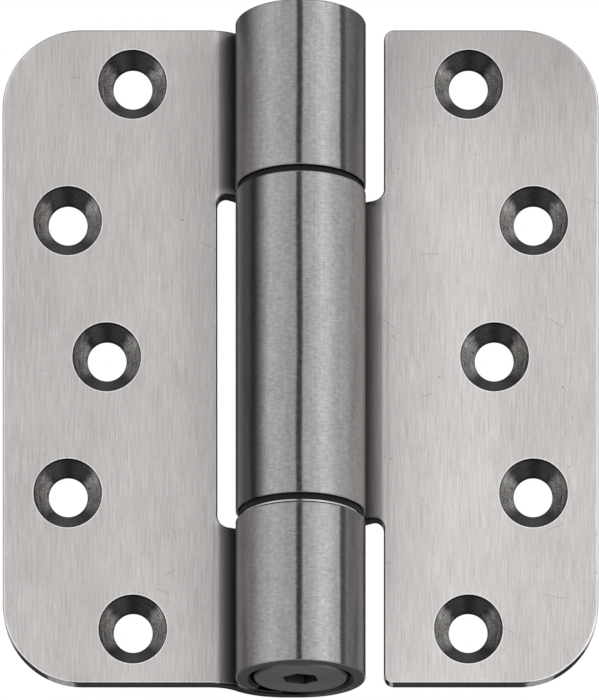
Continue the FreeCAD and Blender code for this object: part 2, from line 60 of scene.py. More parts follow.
class NodeBench:
    """Adds and joins the nodes of one material or world."""

    def __init__(self, tree: bpy.types.NodeTree) -> None:
        """Take a node tree and empty it.

        Args:
            tree: The node tree to build in.
        """
        self.tree = tree
        tree.nodes.clear()

    def feed(self, socket: Socket, value: object) -> None:
        """Join an input to an output, or set it to a value.

        Args:
            socket: The input.
            value: The output that feeds it, or a number, vector or colour.
        """
        if isinstance(value, bpy.types.NodeSocket):
            self.tree.links.new(value, socket)
        else:
            socket.default_value = value

    def add(self, kind: str, **inputs: object) -> bpy.types.Node:
        """Add a node.

        Args:
            kind: The node's type, without the leading words ShaderNode.
            **inputs: Values or sockets by the input's name, with underscores for spaces.

        Returns:
            The new node.
        """
        node = self.tree.nodes.new("ShaderNode" + kind)
        for name, value in inputs.items():
            self.feed(node.inputs[name.replace("_", " ")], value)
        return node

    def math(self, operation: str, *values: Number, clamp: bool = False) -> Socket:
        """Work out a number.

        Args:
            operation: The operation of the Math node.
            *values: Its inputs in order.
            clamp: Whether the result is kept between 0 and 1.

        Returns:
            The result.
        """
        node = self.tree.nodes.new("ShaderNodeMath")
        node.operation = operation
        node.use_clamp = clamp
        for socket, value in zip(node.inputs, values):
            self.feed(socket, value)
        return node.outputs[0]

    def product(self, *values: Number) -> Socket:
        """Multiply numbers.

        Args:
            *values: Two or more numbers or sockets.

        Returns:
            The product.
        """
        result = values[0]
        for value in values[1:]:
            result = self.math("MULTIPLY", result, value)
        return result

    def total(self, *values: Number) -> Socket:
        """Add numbers.

        Args:
            *values: Two or more numbers or sockets.

        Returns:
            The sum.
        """
        result = values[0]
        for value in values[1:]:
            result = self.math("ADD", result, value)
        return result

    def inverse(self, value: Socket) -> Socket:
        """One less a number, kept between 0 and 1."""
        return self.math("SUBTRACT", 1.0, value, clamp=True)

    def vector(self, operation: str, *values: Triple) -> bpy.types.Node:
        """Work out a vector.

        Args:
            operation: The operation of the Vector Math node.
            *values: Its inputs in order.

        Returns:
            The node, whose outputs are Vector and Value.
        """
        node = self.tree.nodes.new("ShaderNodeVectorMath")
        node.operation = operation
        for socket, value in zip(node.inputs, values):
            self.feed(socket, value)
        return node

    def length(self, vector: Socket) -> Socket:
        """The length of a vector."""
        return self.vector("LENGTH", vector).outputs["Value"]

    def scaled(self, vector: Triple, factor: Number) -> Socket:
        """Multiply a vector or colour by a number.

        Args:
            vector: The vector or colour.
            factor: The number.

        Returns:
            The result.
        """
        node = self.vector("SCALE", vector)
        self.feed(node.inputs["Scale"], factor)
        return node.outputs["Vector"]

    def combine(self, x: Number, y: Number, z: Number) -> Socket:
        """A vector made of three numbers."""
        return self.add("CombineXYZ", X=x, Y=y, Z=z).outputs["Vector"]

    def parts(self, vector: Triple) -> tuple[Socket, Socket, Socket]:
        """The three numbers of a vector."""
        return tuple(self.add("SeparateXYZ", Vector=vector).outputs)

    def ramp(
        self,
        value: Number,
        low: Number,
        high: Number,
        start: Number = 0.0,
        end: Number = 1.0,
        soft: bool = True,
    ) -> Socket:
        """Turn a number from start to end.

        Args:
            value: The number.
            low: Where the change begins.
            high: Where it ends, above low.
            start: The result up to low.
            end: The result from high on.
            soft: Whether the change eases in and out.

        Returns:
            The result.
        """
        node = self.tree.nodes.new("ShaderNodeMapRange")
        node.interpolation_type = "SMOOTHSTEP" if soft else "LINEAR"
        names = ("Value", "From Min", "From Max", "To Min", "To Max")
        for name, item in zip(names, (value, low, high, start, end)):
            self.feed(node.inputs[name], item)
        return node.outputs["Result"]

    def angle_ramp(
        self, angle: Socket, low: float, high: float, start: Number = 0.0, end: Number = 1.0
    ) -> Socket:
        """As ramp, for an angle in radians with its limits low and high in degrees."""
        return self.ramp(angle, math.radians(low), math.radians(high), start, end)

    def band(self, value: Number, low: float, high: float, edge: float) -> Socket:
        """1 inside a range and 0 outside it.

        Args:
            value: The number.
            low: Where the range begins.
            high: Where it ends.
            edge: The width of the soft edges, which lie outside the range.

        Returns:
            The result.
        """
        rise = self.ramp(value, low - edge, low)
        fall = self.ramp(value, high, high + edge, 1.0, 0.0)
        return self.product(rise, fall)

    def noise(self, x: Number, y: Number, z: Number, detail: float = 1.0) -> Socket:
        """Noise about 0.5 at a place that is already scaled to the noise's grain.

        Args:
            x: First coordinate.
            y: Second coordinate.
            z: Third coordinate.
            detail: How many finer layers are added.

        Returns:
            The noise.
        """
        place = self.combine(x, y, z)
        return self.add(
            "TexNoise", Vector=place, Scale=1.0, Detail=detail, Roughness=NOISE_ROUGHNESS
        ).outputs[0]

    def wave(self, noise: Socket, size: float) -> Socket:
        """Stretch a noise to plus or minus a size about 0."""
        return self.ramp(noise, *NOISE_REACH, -size, size, soft=False)

    def mix(self, share: Number, first: Number, second: Number) -> Socket:
        """Mix two numbers: first where share is 0 and second where it is 1."""
        node = self._mix_node("FLOAT", (0, 2, 3), (share, first, second))
        return node.outputs[0]

    def mix_vector(self, share: Number, first: Triple, second: Triple) -> Socket:
        """Mix two vectors: first where share is 0 and second where it is 1."""
        node = self._mix_node("VECTOR", (0, 4, 5), (share, first, second))
        return node.outputs[1]

    def choose(self, share: Number, first: Triple, second: Triple) -> Socket:
        """Take the first vector, or the second where share is above a half."""
        return self.mix_vector(self.math("GREATER_THAN", share, 0.5), first, second)

    def bump(self, height: Socket) -> Socket:
        """The normal of a surface with a relief in metres."""
        return self.add("Bump", Strength=1.0, Distance=1.0, Height=height).outputs[0]

    def _mix_node(
        self, kind: str, inputs: tuple[int, int, int], values: tuple[object, object, object]
    ) -> bpy.types.Node:
        """Add a Mix node.

        Args:
            kind: Its data type.
            inputs: The numbers of its inputs for the share and the two values.
            values: The share, the first value and the second.

        Returns:
            The new node.
        """
        node = self.tree.nodes.new("ShaderNodeMix")
        node.data_type = kind
        for number, value in zip(inputs, values):
            self.feed(node.inputs[number], value)
        return node


@dataclass(frozen=True)
class Grain:
    """One layer of noise on a surface, in two directions of it.

    Across and along say how many grains go on one unit of each direction, start tells layers
    apart, and contrast is how far the layer moves a value up or down.
    """

    across: float
    along: float
    start: float
    detail: float
    contrast: float

    def noise(self, bench: NodeBench, across: Socket, along: Socket) -> Socket:
        """The layer's noise, about 0.5.

        Args:
            bench: The node bench.
            across: The place in the first direction.
            along: The place in the second.

        Returns:
            The noise.
        """
        first = bench.product(across, self.across)
        second = bench.product(along, self.along)
        return bench.noise(first, self.start, second, self.detail)

    def wave(self, bench: NodeBench, across: Socket, along: Socket) -> Socket:
        """The layer as a value about 0, plus or minus its contrast."""
        return bench.wave(self.noise(bench, across, along), self.contrast)


@dataclass(frozen=True)
class FaceGrain:
    """The layers of a brushed face: across it and up it, per metre."""

    drift: Grain = Grain(160.0, 75.0, 0.0, 0.0, 0.12 * MM)
    fine: Grain = Grain(5200.0, 190.0, 0.0, 2.0, 0.14)
    streak: Grain = Grain(2600.0, 120.0, 7.0, 1.0, 0.075)
    broad: Grain = Grain(240.0, 22.0, 13.0, 1.0, 0.025)
    speck: Grain = Grain(3200.0, 900.0, 19.0, 2.0, 0.06)
    cloud: Grain = Grain(110.0, 55.0, 25.0, 2.0, 0.05)


@dataclass(frozen=True)
class RollGrain:
    """The layers of the rolled barrel: round the pin per radian, and up it per metre."""

    hairline: Grain = Grain(7.0, 4000.0, 21.0, 2.0, 0.17)
    upright: Grain = Grain(26.0, 30.0, 33.0, 2.0, 0.06)
    mottle: Grain = Grain(16.0, 1100.0, 39.0, 3.0, 0.16)
    sway: Grain = Grain(3.0, 90.0, 45.0, 0.0, math.radians(0.5))
    dash: Grain = Grain(13.0, 2500.0, 51.0, 1.0, 0.35)
    cloud: Grain = Grain(5.0, 150.0, 57.0, 2.0, 0.09)


@dataclass(frozen=True)
class ScrewHoles:
    """The countersunk holes of a leaf, the same on both: distance from the pin and height."""

    places: tuple[tuple[float, float], ...] = (
        (31.0 * MM, 50.0 * MM),
        (43.0 * MM, 25.0 * MM),
        (35.8 * MM, 0.0),
    )
    mouth: float = 6.35 * MM
    drill: float = 3.6 * MM


@dataclass(frozen=True)
class Knuckle:
    """Sizes of the rolled barrel and of the bend beside it, and the rounding of all edges."""

    radius: float = 12.0 * MM
    half_length: float = 60.0 * MM
    middle_half: float = 29.7 * MM
    bend_foot: float = 12.0 * MM
    bend_end: float = 16.6 * MM
    slot_edge: float = 15.4 * MM
    rounding: float = 0.4 * MM


@dataclass(frozen=True)
class PaintedReflectionBand:
    """A painted reflection band on a knuckle: a dark band with painted light beside it, by the
    angle from the front in degrees.

    Away from the front the surface darkens to the darkest shade, then lightens by the gain, and
    past the strip it lightens once more by the last gain.
    """

    darkening: tuple[float, float]
    darkest: float
    lightening: tuple[float, float]
    gain: float
    last_gain: float
    past_strip: tuple[float, float] = (56.0, 74.0)

    def shade(self, bench: NodeBench, away: Socket) -> Socket:
        """How light the strip and the surface beside it are.

        Args:
            bench: The node bench.
            away: The angle from the front, on the side away from the knuckle's own leaf.

        Returns:
            The shade.
        """
        dip = bench.angle_ramp(away, *self.darkening, 1.0, self.darkest)
        rise = bench.angle_ramp(away, *self.lightening, 0.0, self.gain)
        last_rise = bench.angle_ramp(away, *self.past_strip, 0.0, self.last_gain)
        return bench.total(dip, rise, last_rise)


@dataclass(frozen=True)
class Place:
    """Where a point of a leaf lies and which way the surface faces there.

    Back and up are parts of its normal, and sideways and endways say how far it faces left or
    right and up or down. Across and height are the distances from the pin's plane and from mid
    height, out is the distance from the pin's axis, and turn is the angle round that axis from
    the front, positive towards +X.
    """

    x: Socket
    y: Socket
    z: Socket
    back: Socket
    up: Socket
    sideways: Socket
    endways: Socket
    across: Socket
    height: Socket
    out: Socket
    turn: Socket

    @classmethod
    def read(cls, bench: NodeBench) -> Place:
        """Read the place from the object's own coordinates.

        Args:
            bench: The node bench.

        Returns:
            The place.
        """
        coordinates = bench.add("TexCoord")
        x, y, z = bench.parts(coordinates.outputs["Object"])
        right, back, up = bench.parts(coordinates.outputs["Normal"])
        sideways = bench.math("ABSOLUTE", right)
        endways = bench.math("ABSOLUTE", up)
        across = bench.math("ABSOLUTE", x)
        height = bench.math("ABSOLUTE", z)
        out = bench.length(bench.combine(x, y, 0.0))
        turn = bench.math("ARCTAN2", x, bench.product(y, -1.0))
        return cls(x, y, z, back, up, sideways, endways, across, height, out, turn)


@dataclass(frozen=True)
class NearHole:
    """The nearest screw hole: the distance to its axis, and the place beside it and above it."""

    distance: Socket
    aside: Socket
    above: Socket


@dataclass(frozen=True)
class Zones:
    """Masks of a leaf, each 1 on its zone.

    Barrel is the round outside of the knuckles, sink the cones and bores of the screw holes, cut
    the sheared edges, foot the sheared ring at the foot of the barrel, and the last mask the
    painted highlights on the countersinks' mouths and on the plate's rounded edges.
    """

    barrel: Socket
    sink: Socket
    cut: Socket
    foot: Socket
    painted_highlight: Socket


@dataclass(frozen=True)
class Surface:
    """What one zone of a steel surface looks like: its lightness, roughness and relief."""

    shade: Socket
    roughness: Socket
    height: Socket

    def covered(self, bench: NodeBench, share: Socket, top: Surface) -> Surface:
        """Lay another surface over this one.

        Args:
            bench: The node bench.
            share: 1 where the other surface shows.
            top: The other surface.

        Returns:
            The mixed surface.
        """
        return Surface(
            bench.mix(share, self.shade, top.shade),
            bench.mix(share, self.roughness, top.roughness),
            bench.mix(share, self.height, top.height),
        )


@dataclass(frozen=True)
class LeafSteel:
    """Stainless steel of a leaf: vertical grain, rolled knuckle, turned countersinks, cut edges."""

    slot: Slot = Slot.BRUSHED
    face: Colour = (0.715, 0.684, 0.675)
    barrel: Colour = (0.376, 0.366, 0.362)
    # The cut edges' colour is partly their own dull sheared steel and partly painted shade.
    cut: Colour = (0.136, 0.133, 0.130)
    # The countersinks' colour is partly the turned cones' own dull steel and partly painted shade.
    sink: Colour = (0.216, 0.210, 0.205)
    # The colour of the painted highlights on the countersinks' mouths and the plate's rounded
    # edges.
    rim: Colour = (0.97, 0.95, 0.94)
    anisotropy: float = 0.86
    face_roughness: float = 0.36
    roll_roughness: float = 0.19
    cone_roughness: float = 0.34
    cut_roughness: float = 0.30
    cut_edge_tint: float = 0.5
    mark_shade: float = 0.55
    mark_depth: float = 0.01 * MM
    screws: ScrewHoles = ScrewHoles()
    knuckle: Knuckle = Knuckle()
    # Painted reflection bands on the middle and the outer knuckles.
    middle_painted_band: PaintedReflectionBand = PaintedReflectionBand((27.0, 46.5), 0.13, (46.0, 56.0), 0.26, 0.60)
    outer_painted_band: PaintedReflectionBand = PaintedReflectionBand((35.0, 38.8), 0.21, (41.0, 45.5), 0.27, 0.20)
    face_grain: FaceGrain = FaceGrain()
    roll_grain: RollGrain = RollGrain()

    def material(self) -> bpy.types.Material:
        """Build the material.

        Returns:
            The new material.
        """
        material = bpy.data.materials.new("brushed_stainless_leaf")
        material.use_nodes = True
        bench = NodeBench(material.node_tree)
        place = Place.read(bench)
        hole = self._nearest_hole(bench, place)
        zones = self._zones(bench, place, hole)
        surface = self._surface(bench, place, hole, zones)
        marks = self._marks(bench, place, zones)

        colour = bench.scaled(self._colour(bench, place, zones), surface.shade)
        colour = bench.scaled(colour, bench.ramp(marks, 0.0, 1.0, 1.0, self.mark_shade))
        relief = bench.math("SUBTRACT", surface.height, bench.product(marks, self.mark_depth))
        tint = bench.mix(zones.cut, 1.0, self.cut_edge_tint)
        shader = bench.add("BsdfPrincipled", Metallic=1.0, Anisotropic=self.anisotropy)
        bench.feed(shader.inputs["Base Color"], colour)
        bench.feed(shader.inputs["Specular Tint"], bench.combine(tint, tint, tint))
        bench.feed(shader.inputs["Roughness"], surface.roughness)
        bench.feed(shader.inputs["Normal"], bench.bump(relief))
        bench.feed(shader.inputs["Tangent"], self._across_grain(bench, place, zones))
        bench.add("OutputMaterial", Surface=shader.outputs[0])
        return material

    def _nearest_hole(self, bench: NodeBench, place: Place) -> NearHole:
        """Find the nearest screw hole.

        Args:
            bench: The node bench.
            place: The place on the leaf.

        Returns:
            The hole.
        """
        folded = bench.combine(place.across, 0.0, place.height)
        nearest: Socket | None = None
        offset: Socket | None = None
        for hole_across, hole_height in self.screws.places:
            from_hole = bench.vector("SUBTRACT", folded, (hole_across, 0.0, hole_height)).outputs[0]
            distance = bench.length(from_hole)
            if nearest is None:
                nearest, offset = distance, from_hole
                continue
            offset = bench.mix_vector(bench.math("LESS_THAN", distance, nearest), offset, from_hole)
            nearest = bench.math("MINIMUM", nearest, distance)
        aside, _, above = bench.parts(offset)
        half = bench.math("SIGN", place.z)
        return NearHole(nearest, aside, bench.product(above, half))

    def _zones(self, bench: NodeBench, place: Place, hole: NearHole) -> Zones:
        """Tell the zones of the leaf apart.

        Args:
            bench: The node bench.
            place: The place on the leaf.
            hole: The nearest screw hole.

        Returns:
            The masks.
        """
        barrel = self._on_barrel(bench, place)
        sink = self._in_sink(bench, place, hole)
        cut = bench.product(self._on_edge(bench, place), bench.inverse(barrel), bench.inverse(sink))
        elsewhere = bench.inverse(bench.math("MAXIMUM", barrel, sink))
        # Painted highlight on the plate's rounded edges.
        edge_highlight_mask = bench.product(self._rounded_edge_highlight(bench, place), elsewhere)
        painted_highlight = bench.math("MAXIMUM", self._rim(bench, place, hole), edge_highlight_mask)
        return Zones(barrel, sink, cut, self._on_foot(bench, place), painted_highlight)

    def _on_barrel(self, bench: NodeBench, place: Place) -> Socket:
        """1 on the round outside of the knuckles.

        Args:
            bench: The node bench.
            place: The place on the leaf.

        Returns:
            The mask.
        """
        radius = self.knuckle.radius
        outside = bench.math("GREATER_THAN", place.out, radius - 0.45 * MM)
        near = bench.ramp(place.out, radius + 0.08 * MM, radius + 0.5 * MM, 1.0, 0.0)
        upright = bench.math("LESS_THAN", place.endways, 0.9)
        return bench.product(outside, near, upright)

    def _in_sink(self, bench: NodeBench, place: Place, hole: NearHole) -> Socket:
        """1 on the cone and the bore of a screw hole.

        Args:
            bench: The node bench.
            place: The place on the leaf.
            hole: The nearest screw hole.

        Returns:
            The mask.
        """
        near = bench.math("LESS_THAN", hole.distance, self.screws.mouth + 0.02 * MM)
        sloping = bench.ramp(bench.math("ABSOLUTE", place.back), 0.85, 0.93, 1.0, 0.0)
        return bench.product(near, sloping)

    def _rim(self, bench: NodeBench, place: Place, hole: NearHole) -> Socket:
        """1 on the ring round a countersink's mouth, on the front alone, where a highlight is
        painted.

        Args:
            bench: The node bench.
            place: The place on the leaf.
            hole: The nearest screw hole.

        Returns:
            The mask.
        """
        mouth = self.screws.mouth
        ring = bench.band(hole.distance, mouth, mouth + 0.14 * MM, 0.1 * MM)
        in_front = bench.ramp(place.back, -0.97, -0.90, 1.0, 0.0)
        return bench.product(ring, in_front)

    def _past_bend(self, bench: NodeBench, place: Place) -> Socket:
        """1 on the flat plate and the edges of its slots, and 0 on the bend and the barrel."""
        start = self.knuckle.slot_edge - self.knuckle.rounding
        return bench.math("GREATER_THAN", place.across, start)

    def _rounded_edge_highlight(self, bench: NodeBench, place: Place) -> Socket:
        """1 on the rounded side edges and lower edges of the plate, where a highlight is painted.

        Args:
            bench: The node bench.
            place: The place on the leaf.

        Returns:
            The mask.
        """
        beside = bench.band(place.sideways, 0.12, 0.40, 0.06)
        beneath = bench.band(place.up, -0.45, -0.12, 0.05)
        return bench.product(self._past_bend(bench, place), bench.math("MAXIMUM", beside, beneath))

    def _on_edge(self, bench: NodeBench, place: Place) -> Socket:
        """1 on the sheared edges of the plate and on the ends of the knuckles.

        Args:
            bench: The node bench.
            place: The place on the leaf.

        Returns:
            The mask.
        """
        start = bench.ramp(place.across, 20.0 * MM, 40.0 * MM, 0.42, 0.80)
        beside = bench.ramp(place.sideways, start, bench.total(start, 0.12))
        sideways = bench.product(self._past_bend(bench, place), beside)
        return bench.math("MAXIMUM", sideways, bench.ramp(place.endways, 0.45, 0.6))

    def _on_foot(self, bench: NodeBench, place: Place) -> Socket:
        """1 on the sheared ring at the foot of the barrel.

        Args:
            bench: The node bench.
            place: The place on the leaf.

        Returns:
            The mask.
        """
        radius = self.knuckle.radius
        near = bench.ramp(place.out, radius, radius + 0.5 * MM, 1.0, 0.0)
        lowest = bench.math("LESS_THAN", place.z, 0.5 * MM - self.knuckle.half_length)
        return bench.product(near, lowest, bench.ramp(place.up, -0.8, -0.5, 1.0, 0.0))

    def _colour(self, bench: NodeBench, place: Place, zones: Zones) -> Socket:
        """The colour of each zone, before its shade.

        Args:
            bench: The node bench.
            place: The place on the leaf.
            zones: The masks.

        Returns:
            The colour.
        """
        colour = bench.mix_vector(zones.barrel, self.face, self.barrel)
        colour = bench.mix_vector(zones.sink, colour, self.sink)
        # Painted light and shade on the cut edges, held even on the foot.
        painted_cut_light = bench.mix(zones.foot, self._cut_painted_light(bench, place), 1.0)
        colour = bench.mix_vector(zones.cut, colour, bench.scaled(self.cut, painted_cut_light))
        # Painted highlights on the countersinks' mouths and the plate's rounded edges.
        return bench.mix_vector(zones.painted_highlight, colour, self.rim)

    def _surface(self, bench: NodeBench, place: Place, hole: NearHole, zones: Zones) -> Surface:
        """Join the surfaces of all zones.

        Args:
            bench: The node bench.
            place: The place on the leaf.
            hole: The nearest screw hole.
            zones: The masks.

        Returns:
            The shade, roughness and height of the leaf.
        """
        joined = self._face(bench, place)
        joined = joined.covered(bench, zones.barrel, self._roll(bench, place))
        joined = joined.covered(bench, zones.sink, self._cone(bench, place, hole))
        shade = bench.mix(zones.foot, joined.shade, self._foot_shade(bench, place))
        rough = bench.mix(zones.cut, joined.roughness, self.cut_roughness)
        return Surface(shade, rough, joined.height)

    def _cut_painted_light(self, bench: NodeBench, place: Place) -> Socket:
        """Painted light and shade on a cut edge: lighter underneath at the front and on the edges
        that face up, darker underneath towards the back and along the slots.

        Args:
            bench: The node bench.
            place: The place on the leaf.

        Returns:
            The shade.
        """
        towards_back = bench.ramp(place.y, -2.0 * MM, 5.0 * MM, 1.9, 0.24)
        underneath = bench.ramp(place.up, -0.7, -0.4, towards_back, 1.0)
        beside = bench.ramp(place.sideways, 0.3, 0.7, 1.0, 0.4)
        on_top = bench.ramp(place.up, 0.5, 0.8, 1.0, 2.4)
        return bench.product(underneath, beside, on_top)

    def _foot_shade(self, bench: NodeBench, place: Place) -> Socket:
        """How light the barrel's foot is: even, with painted shade where the plate runs into it
        behind.

        Args:
            bench: The node bench.
            place: The place on the leaf.

        Returns:
            The shade.
        """
        behind = bench.ramp(place.y, 6.0 * MM, 7.6 * MM)
        left = bench.ramp(place.x, 0.5 * MM, 2.5 * MM, 1.0, 0.0)
        even = bench.mix(bench.product(behind, left), 0.88, 0.11)
        cloud = bench.noise(bench.product(place.x, 900.0), bench.product(place.y, 900.0), 63.0, 2.0)
        return bench.product(even, bench.total(1.0, bench.wave(cloud, 0.10)))

    def _face(self, bench: NodeBench, place: Place) -> Surface:
        """The flat face: soft upright grain, with painted shade deepening into the bend.

        Args:
            bench: The node bench.
            place: The place on the leaf.

        Returns:
            The face's shade, roughness and height.
        """
        layers = self.face_grain
        wandering = bench.total(place.x, layers.drift.wave(bench, place.x, place.z))
        fine = layers.fine.noise(bench, wandering, place.z)
        streak = layers.streak.noise(bench, wandering, place.z)
        grain = bench.total(
            1.0,
            bench.wave(fine, layers.fine.contrast),
            bench.wave(streak, layers.streak.contrast),
            layers.broad.wave(bench, wandering, place.z),
            layers.speck.wave(bench, place.x, place.z),
            layers.cloud.wave(bench, place.x, place.z),
        )
        door = bench.math("GREATER_THAN", place.x, 0.0)
        # Painted light and shade on the face.
        face_light = self._painted_face_light(bench, place, door)
        shade = bench.product(grain, face_light, self._painted_bend_shade(bench, place, door))
        rough = bench.total(self.face_roughness, bench.wave(streak, 0.03))
        relief = bench.product(bench.total(fine, streak), 3.0e-6)
        return Surface(shade, rough, relief)

    def _painted_face_light(self, bench: NodeBench, place: Place, door: Socket) -> Socket:
        """Painted light and shade on the face: slow changes of its lightness with distance from the
        pin and with height.

        Args:
            bench: The node bench.
            place: The place on the leaf.
            door: 1 on the door leaf and 0 on the frame leaf.

        Returns:
            The painted light.
        """
        door_start = bench.ramp(place.z, -62.0 * MM, -40.0 * MM, 0.98, 0.86)
        start = bench.mix(door, 0.86, door_start)
        near_barrel = bench.ramp(place.across, 16.0 * MM, 28.0 * MM, start, 1.0, soft=False)
        far_out = bench.ramp(place.across, 30.0 * MM, 44.0 * MM, 1.0, bench.mix(door, 0.95, 0.89))
        frame_height = bench.ramp(place.z, -60.0 * MM, 60.0 * MM, 1.03, 0.94, soft=False)
        door_top = bench.ramp(place.z, 28.0 * MM, 64.0 * MM, 1.15, 0.86)
        door_middle = bench.ramp(place.z, -50.0 * MM, 30.0 * MM, 1.03, 0.98)
        by_height = bench.mix(door, frame_height, bench.product(door_top, door_middle))
        return bench.product(near_barrel, far_out, by_height)

    def _painted_bend_shade(self, bench: NodeBench, place: Place, door: Socket) -> Socket:
        """Painted shade on the face in front, deepening towards the bend beside the leaf's own
        knuckles.

        Args:
            bench: The node bench.
            place: The place on the leaf.
            door: 1 on the door leaf and 0 on the frame leaf.

        Returns:
            The shade.
        """
        knuckle = self.knuckle
        start, end = knuckle.middle_half - 0.5 * MM, knuckle.middle_half + 2.0 * MM
        outer = bench.ramp(place.height, start, end)
        beside_own = bench.math("ABSOLUTE", bench.math("SUBTRACT", outer, door))
        beside_own = bench.product(beside_own, bench.ramp(place.back, 0.0, 0.3, 1.0, 0.0))
        into_bend = bench.ramp(place.across, knuckle.bend_foot, knuckle.bend_end, soft=False)
        steepness = bench.mix(door, 1.7, 1.15)
        deepest = bench.mix(door, 0.10, 0.20)
        bend = bench.mix(bench.math("POWER", into_bend, steepness), deepest, 1.0)
        return bench.mix(beside_own, 1.0, bend)

    def _roll(self, bench: NodeBench, place: Place) -> Surface:
        """The knuckles' outside: hairlines round the pin, upright bands, a painted reflection band,
        painted shade on the flanks and painted light behind.

        Args:
            bench: The node bench.
            place: The place on the leaf.

        Returns:
            The shade, roughness and height of the knuckles.
        """
        layers = self.roll_grain
        turn, z = place.turn, place.z
        hairline = layers.hairline.noise(bench, turn, z)
        mottle = layers.mottle.noise(bench, turn, z)
        sway = layers.sway.noise(bench, turn, z)
        dash = layers.dash.noise(bench, turn, z)
        shade = bench.total(
            1.0,
            bench.wave(hairline, layers.hairline.contrast),
            layers.upright.wave(bench, turn, z),
            bench.wave(mottle, layers.mottle.contrast),
            layers.cloud.wave(bench, turn, z),
            bench.ramp(dash, 0.68, 0.74, 0.0, layers.dash.contrast),
        )
        strip = self._painted_reflection_band(bench, place, bench.wave(sway, layers.sway.contrast))
        sides = bench.math("ABSOLUTE", turn)
        behind = bench.angle_ramp(sides, 95.0, 125.0)
        # Painted light on the back of the barrel, past the painted band and the painted flank
        # shade.
        light = bench.mix(behind, bench.product(strip, self._painted_flank_shade(bench, place)), 1.6)
        dull_sides = bench.angle_ramp(sides, 42.0, 52.0, 0.0, 0.20)
        rough = bench.total(self.roll_roughness, bench.wave(mottle, 0.03), dull_sides)
        relief = bench.total(
            bench.product(hairline, 2.0e-6),
            bench.product(mottle, 1.5e-6),
            bench.product(sway, 50.0e-6),
        )
        return Surface(bench.product(shade, light), rough, relief)

    def _painted_reflection_band(self, bench: NodeBench, place: Place, sway: Socket) -> Socket:
        """The painted reflection band on the side away from the knuckle's own leaf.

        Args:
            bench: The node bench.
            place: The place on the leaf.
            sway: How far the strip's edges wander, in radians.

        Returns:
            The strip's shade.
        """
        outer = bench.math("GREATER_THAN", place.height, self.knuckle.middle_half)
        side = bench.mix(outer, -1.0, 1.0)
        away = bench.total(bench.product(place.turn, side), sway)
        middle_shade = self.middle_painted_band.shade(bench, away)
        outer_shade = self.outer_painted_band.shade(bench, away)
        return bench.mix(outer, middle_shade, outer_shade)

    def _painted_flank_shade(self, bench: NodeBench, place: Place) -> Socket:
        """Painted shade on the barrel's left and right flanks.

        Args:
            bench: The node bench.
            place: The place on the leaf.

        Returns:
            The shade.
        """
        both = bench.angle_ramp(bench.math("ABSOLUTE", place.turn), 49.0, 61.0, 1.0, 0.62)
        left = bench.angle_ramp(place.turn, -74.0, -64.0, 0.26, 0.0)
        right = bench.angle_ramp(place.turn, 49.0, 59.0, 0.0, 0.25)
        return bench.total(both, left, right)

    def _cone(self, bench: NodeBench, place: Place, hole: NearHole) -> Surface:
        """A countersink: fine turned rings and chatter marks, with painted highlights on its left
        and right sides and painted shade above, below, deep in the bore and just inside the mouth.

        Args:
            bench: The node bench.
            place: The place on the leaf.
            hole: The nearest screw hole.

        Returns:
            The shade, roughness and height of the cone.
        """
        distance, z = hole.distance, place.z
        turn = bench.math("ARCTAN2", hole.above, hole.aside)
        ragged = bench.noise(
            bench.product(distance, 1500.0), bench.product(turn, 3.0), bench.product(z, 70.0), 2.0
        )
        rings = bench.noise(bench.product(distance, 5600.0), bench.product(turn, 2.6), 0.0, 2.0)
        chatter = bench.noise(bench.product(distance, 3400.0), bench.product(turn, 16.0), 5.0, 2.0)
        uneven = bench.noise(bench.product(hole.aside, 160.0), bench.product(z, 110.0), 9.0, 0.0)

        rise = bench.total(bench.math("DIVIDE", hole.above, distance), bench.wave(ragged, 0.08))
        sides = bench.band(rise, -0.42, 0.46, 0.36)
        top = bench.ramp(rise, 0.58, 0.80)
        # Painted highlights on the cone's left and right sides and painted shade above and below.
        painted_cone_light = bench.mix(top, bench.mix(sides, 0.62, 2.60), 0.29)
        lines = bench.total(bench.wave(rings, 0.75), bench.wave(chatter, 0.60))
        lines = bench.product(lines, bench.mix(sides, 0.4, 1.0))
        # Painted shade deep in the bore and just inside the mouth.
        inner = bench.ramp(distance, self.screws.drill, self.screws.drill + 0.4 * MM, 0.35, 1.0)
        start, end = self.screws.mouth - 0.45 * MM, self.screws.mouth - 0.05 * MM
        outer = bench.ramp(distance, start, end, 1.0, 0.22)
        shade = bench.product(painted_cone_light, bench.total(1.0, lines, bench.wave(uneven, 0.12)), inner, outer)
        rough = bench.total(self.cone_roughness, bench.wave(chatter, 0.05))
        return Surface(shade, rough, bench.product(rings, 8.0e-6))

    def _marks(self, bench: NodeBench, place: Place, zones: Zones) -> Socket:
        """1 on sparse pits and 0.6 on short scratches, at most one of them in each cell.

        Args:
            bench: The node bench.
            place: The place on the leaf.
            zones: The masks.

        Returns:
            The mask.
        """
        per_cell = 1.0 / (8.0 * MM)
        along = bench.mix(zones.barrel, place.x, bench.product(place.turn, self.knuckle.radius))
        spot = bench.combine(bench.product(along, per_cell), bench.product(place.z, per_cell), 0.0)
        cells = bench.add("TexVoronoi", Vector=spot, Scale=1.0)
        cells.voronoi_dimensions = "2D"
        chance, tilt, size = bench.parts(cells.outputs["Color"])
        offset = bench.vector("SUBTRACT", spot, cells.outputs["Position"]).outputs[0]

